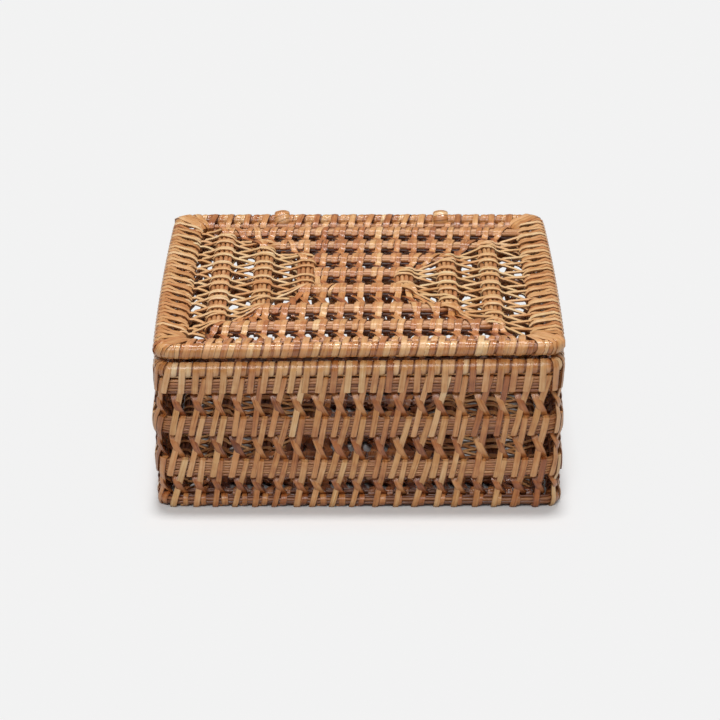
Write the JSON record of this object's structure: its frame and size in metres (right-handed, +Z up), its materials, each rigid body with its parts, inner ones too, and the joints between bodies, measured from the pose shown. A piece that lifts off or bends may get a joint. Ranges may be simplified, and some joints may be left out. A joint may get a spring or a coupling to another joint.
{
  "type": "napkin holder",
  "caption": "Low square box of open-work woven cane with a hinged coiled lid, for flat folded napkins.",
  "frame": {"origin": "centre of the bottom of the whole box, on the surface that it stands on", "axes": "+X to the right of the front, +Y to the hinged back, +Z up"},
  "size_m": [0.19, 0.1914, 0.0835],
  "materials": {
    "rods": "satin natural rattan core rods",
    "strips": "satin split cane strip",
    "rails": "satin cane strip wound close on a rail"
  },
  "bodies": {
    "box": {"base_rail": "rods", "lower_band": "rods", "middle_band": "rods", "upper_band": "rods", "rim_rail": "rails", "lacing_front_low": "strips", "lacing_front_middle": "strips", "lacing_front_high": "strips", "lacing_right_low": "strips", "lacing_right_middle": "strips", "lacing_right_high": "strips", "lacing_back_low": "strips", "lacing_back_middle": "strips", "lacing_back_high": "strips", "lacing_left_low": "strips", "lacing_left_middle": "strips", "lacing_left_high": "strips", "rim_lashing_front": "strips", "rim_lashing_right": "strips", "rim_lashing_back": "strips", "rim_lashing_left": "strips", "floor_coil": "rods", "floor_lacing_centre": "strips", "floor_lacing_inner": "strips", "floor_lacing_middle": "strips", "floor_lacing_outer": "strips", "hinge_loop_left": "rails", "hinge_loop_right": "rails"},
    "lid": {"lid_rail": "rails", "lid_coil": "rods", "lid_lacing_centre": "strips", "lid_lacing_inner": "strips", "lid_lacing_middle": "strips", "lid_lacing_outer": "strips", "lid_lashing_front": "strips", "lid_lashing_right": "strips", "lid_lashing_back": "strips", "lid_lashing_left": "strips"}
  },
  "joints": [
    {"name": "lid_hinge", "type": "hinge", "parent": "box", "child": "lid", "pos_m": [0, 0.0906, 0.0783], "axis": [-1, 0, 0], "range_deg": [0, 110]}
  ]
}
